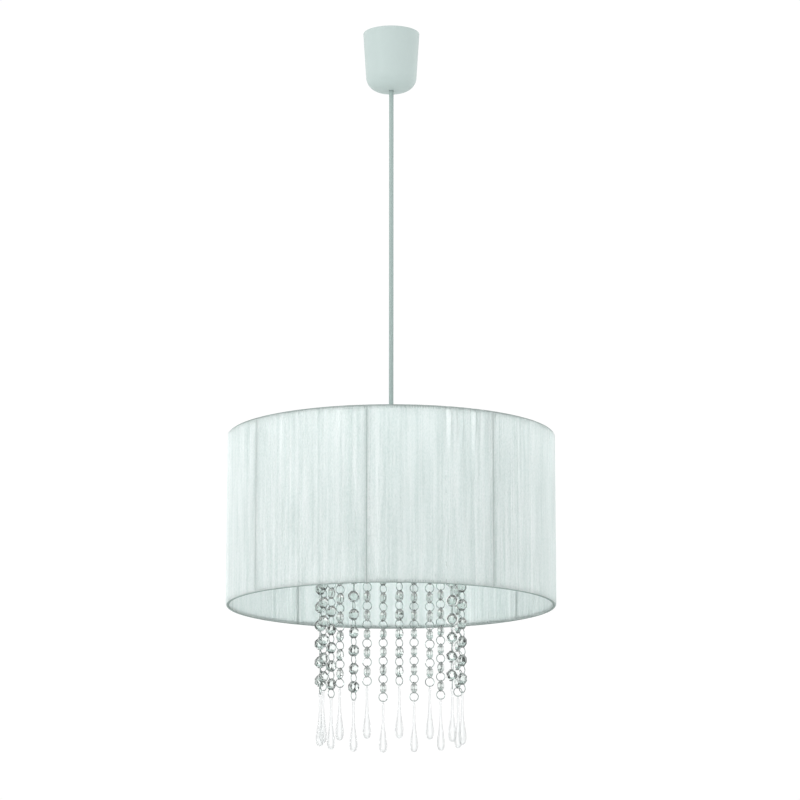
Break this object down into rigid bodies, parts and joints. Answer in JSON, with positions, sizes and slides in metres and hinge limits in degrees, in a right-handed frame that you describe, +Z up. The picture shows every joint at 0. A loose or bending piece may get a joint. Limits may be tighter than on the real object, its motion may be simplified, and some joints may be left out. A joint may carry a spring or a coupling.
{
  "type": "drum pendant light",
  "caption": "Drum pendant light: a ceiling cup and cord hold a string-wound drum shade with a circle of crystal strands and glass drops below it.",
  "frame": {"origin": "on the ceiling plane, at the light's axis, in the middle of the hook plate's top face", "axes": "+Z up, the viewer at -Y, +X to the viewer's right"},
  "size_m": [0.4, 0.4, 0.8976],
  "materials": {
    "cup_plastic": "moulded polypropylene, silky matt",
    "cord_plastic": "soft PVC sheath, satin",
    "grip_plastic": "moulded white plastic, satin",
    "zinc_steel": "zinc-plated, dull bright",
    "frame_enamel": "white enamel, satin",
    "string": "white polyester thread, pearly",
    "chrome_plate": "chromed steel, bright",
    "ceramic": "glazed white",
    "brass": "stamped, bright",
    "live_plastic": "brown PVC, satin",
    "neutral_plastic": "blue PVC, satin",
    "crystal": "cut glass beads on bright chromed rings",
    "clear_glass": "clear pressed glass, polished"
  },
  "bodies": {
    "ceiling_hook": {"hook_plate": "zinc_steel"},
    "hanger": {"suspension_ring": "zinc_steel"},
    "pendant": {"cord_grip_body": "grip_plastic", "cord_grip_clamp": "grip_plastic", "cord_grip_screw_1": "zinc_steel", "cord_grip_screw_2": "zinc_steel", "terminal_block": "grip_plastic", "terminal_screw_1": "brass", "terminal_screw_2": "brass", "wire_live": "live_plastic", "wire_neutral": "neutral_plastic", "pendant_cord": "cord_plastic", "lampholder_cap": "grip_plastic", "lampholder_body": "grip_plastic", "lampholder_insulator": "ceramic", "screw_shell": "brass", "centre_contact": "brass", "shade_ring": "grip_plastic", "shade_top_ring": "frame_enamel", "shade_bottom_ring": "frame_enamel", "shade_spider": "frame_enamel", "shade_rib_1": "frame_enamel", "shade_rib_2": "frame_enamel", "shade_rib_3": "frame_enamel", "shade_rib_4": "frame_enamel", "shade_rib_5": "frame_enamel", "shade_rib_6": "frame_enamel", "shade_rib_7": "frame_enamel", "shade_rib_8": "frame_enamel", "string_cover": "string", "crystal_plate": "chrome_plate"},
    "cup": {"ceiling_cup": "cup_plastic"},
    "strand_01": {"crystal_strand_01": "crystal"},
    "drop_01": {"glass_drop_01": "clear_glass"},
    "strand_02": {"crystal_strand_02": "crystal"},
    "drop_02": {"glass_drop_02": "clear_glass"},
    "strand_03": {"crystal_strand_03": "crystal"},
    "drop_03": {"glass_drop_03": "clear_glass"},
    "strand_04": {"crystal_strand_04": "crystal"},
    "drop_04": {"glass_drop_04": "clear_glass"},
    "strand_05": {"crystal_strand_05": "crystal"},
    "drop_05": {"glass_drop_05": "clear_glass"},
    "strand_06": {"crystal_strand_06": "crystal"},
    "drop_06": {"glass_drop_06": "clear_glass"},
    "strand_07": {"crystal_strand_07": "crystal"},
    "drop_07": {"glass_drop_07": "clear_glass"},
    "strand_08": {"crystal_strand_08": "crystal"},
    "drop_08": {"glass_drop_08": "clear_glass"},
    "strand_09": {"crystal_strand_09": "crystal"},
    "drop_09": {"glass_drop_09": "clear_glass"},
    "strand_10": {"crystal_strand_10": "crystal"},
    "drop_10": {"glass_drop_10": "clear_glass"},
    "strand_11": {"crystal_strand_11": "crystal"},
    "drop_11": {"glass_drop_11": "clear_glass"},
    "strand_12": {"crystal_strand_12": "crystal"},
    "drop_12": {"glass_drop_12": "clear_glass"},
    "strand_13": {"crystal_strand_13": "crystal"},
    "drop_13": {"glass_drop_13": "clear_glass"},
    "strand_14": {"crystal_strand_14": "crystal"},
    "drop_14": {"glass_drop_14": "clear_glass"}
  },
  "joints": [
    {"name": "hook_swing", "type": "hinge", "parent": "ceiling_hook", "child": "hanger", "pos_m": [0, 0, -0.0186], "axis": [1, 0, 0], "range_deg": [-7.5, 7.5]},
    {"name": "grip_swing", "type": "hinge", "parent": "hanger", "child": "pendant", "pos_m": [0, 0, -0.0288], "axis": [0, 1, 0], "range_deg": [-7.5, 7.5]},
    {"name": "cup_slide", "type": "slide", "parent": "pendant", "child": "cup", "axis": [0, 0, -1], "range_m": [0, 0.46]},
    {"name": "strand_01_swing", "type": "hinge", "parent": "pendant", "child": "strand_01", "pos_m": [-0.08107, -0.02871, -0.5782], "axis": [-0.3338, 0.9426, 0], "range_deg": [-5, 15]},
    {"name": "drop_01_swing", "type": "hinge", "parent": "strand_01", "child": "drop_01", "pos_m": [-0.08107, -0.02871, -0.8338], "axis": [-0.6374, -0.7705, 0], "range_deg": [-7, 7]},
    {"name": "strand_02_swing", "type": "hinge", "parent": "pendant", "child": "strand_02", "pos_m": [-0.06058, -0.06104, -0.5782], "axis": [-0.7097, 0.7045, 0], "range_deg": [-5, 15]},
    {"name": "drop_02_swing", "type": "hinge", "parent": "strand_02", "child": "drop_02", "pos_m": [-0.06058, -0.06104, -0.8338], "axis": [-0.9048, -0.4258, 0], "range_deg": [-7, 7]},
    {"name": "strand_03_swing", "type": "hinge", "parent": "pendant", "child": "strand_03", "pos_m": [-0.0281, -0.08128, -0.5782], "axis": [-0.9451, 0.3267, 0], "range_deg": [-5, 15]},
    {"name": "drop_03_swing", "type": "hinge", "parent": "strand_03", "child": "drop_03", "pos_m": [-0.0281, -0.08128, -0.8338], "axis": [-1, 0, 0], "range_deg": [-7, 7]},
    {"name": "strand_04_swing", "type": "hinge", "parent": "pendant", "child": "strand_04", "pos_m": [0.00995, -0.08542, -0.5782], "axis": [-0.9933, -0.1157, 0], "range_deg": [-5, 15]},
    {"name": "drop_04_swing", "type": "hinge", "parent": "strand_04", "child": "drop_04", "pos_m": [0.00995, -0.08542, -0.8338], "axis": [-0.809, -0.5878, 0], "range_deg": [-7, 7]},
    {"name": "strand_05_swing", "type": "hinge", "parent": "pendant", "child": "strand_05", "pos_m": [0.04603, -0.07265, -0.5782], "axis": [-0.8447, -0.5352, 0], "range_deg": [-5, 15]},
    {"name": "drop_05_swing", "type": "hinge", "parent": "strand_05", "child": "drop_05", "pos_m": [0.04603, -0.07265, -0.8338], "axis": [1, 0, 0], "range_deg": [-7, 7]},
    {"name": "strand_06_swing", "type": "hinge", "parent": "pendant", "child": "strand_06", "pos_m": [0.07299, -0.04548, -0.5782], "axis": [-0.5289, -0.8487, 0], "range_deg": [-5, 15]},
    {"name": "drop_06_swing", "type": "hinge", "parent": "strand_06", "child": "drop_06", "pos_m": [0.07299, -0.04548, -0.8338], "axis": [-0.0941, -0.9956, 0], "range_deg": [-7, 7]},
    {"name": "strand_07_swing", "type": "hinge", "parent": "pendant", "child": "strand_07", "pos_m": [0.0855, -0.00931, -0.5782], "axis": [-0.1082, -0.9941, 0], "range_deg": [-5, 15]},
    {"name": "drop_07_swing", "type": "hinge", "parent": "strand_07", "child": "drop_07", "pos_m": [0.0855, -0.00931, -0.8338], "axis": [0.6374, 0.7705, 0], "range_deg": [-7, 7]},
    {"name": "strand_08_swing", "type": "hinge", "parent": "pendant", "child": "strand_08", "pos_m": [0.08107, 0.02871, -0.5782], "axis": [0.3338, -0.9426, 0], "range_deg": [-5, 15]},
    {"name": "drop_08_swing", "type": "hinge", "parent": "strand_08", "child": "drop_08", "pos_m": [0.08107, 0.02871, -0.8338], "axis": [0.9686, 0.2487, 0], "range_deg": [-7, 7]},
    {"name": "strand_09_swing", "type": "hinge", "parent": "pendant", "child": "strand_09", "pos_m": [0.06058, 0.06104, -0.5782], "axis": [0.7097, -0.7045, 0], "range_deg": [-5, 15]},
    {"name": "drop_09_swing", "type": "hinge", "parent": "strand_09", "child": "drop_09", "pos_m": [0.06058, 0.06104, -0.8338], "axis": [0.9877, 0.1564, 0], "range_deg": [-7, 7]},
    {"name": "strand_10_swing", "type": "hinge", "parent": "pendant", "child": "strand_10", "pos_m": [0.0281, 0.08128, -0.5782], "axis": [0.9451, -0.3267, 0], "range_deg": [-5, 15]},
    {"name": "drop_10_swing", "type": "hinge", "parent": "strand_10", "child": "drop_10", "pos_m": [0.0281, 0.08128, -0.8338], "axis": [1, 0, 0], "range_deg": [-7, 7]},
    {"name": "strand_11_swing", "type": "hinge", "parent": "pendant", "child": "strand_11", "pos_m": [-0.00995, 0.08542, -0.5782], "axis": [0.9933, 0.1157, 0], "range_deg": [-5, 15]},
    {"name": "drop_11_swing", "type": "hinge", "parent": "strand_11", "child": "drop_11", "pos_m": [-0.00995, 0.08542, -0.8338], "axis": [0.9823, 0.1874, 0], "range_deg": [-7, 7]},
    {"name": "strand_12_swing", "type": "hinge", "parent": "pendant", "child": "strand_12", "pos_m": [-0.04603, 0.07265, -0.5782], "axis": [0.8447, 0.5352, 0], "range_deg": [-5, 15]},
    {"name": "drop_12_swing", "type": "hinge", "parent": "strand_12", "child": "drop_12", "pos_m": [-0.04603, 0.07265, -0.8338], "axis": [0.509, 0.8607, 0], "range_deg": [-7, 7]},
    {"name": "strand_13_swing", "type": "hinge", "parent": "pendant", "child": "strand_13", "pos_m": [-0.07299, 0.04548, -0.5782], "axis": [0.5289, 0.8487, 0], "range_deg": [-5, 15]},
    {"name": "drop_13_swing", "type": "hinge", "parent": "strand_13", "child": "drop_13", "pos_m": [-0.07299, 0.04548, -0.8338], "axis": [-0.5878, -0.809, 0], "range_deg": [-7, 7]},
    {"name": "strand_14_swing", "type": "hinge", "parent": "pendant", "child": "strand_14", "pos_m": [-0.0855, 0.00931, -0.5782], "axis": [0.1082, 0.9941, 0], "range_deg": [-5, 15]},
    {"name": "drop_14_swing", "type": "hinge", "parent": "strand_14", "child": "drop_14", "pos_m": [-0.0855, 0.00931, -0.8338], "axis": [-0.1874, -0.9823, 0], "range_deg": [-7, 7]}
  ]
}
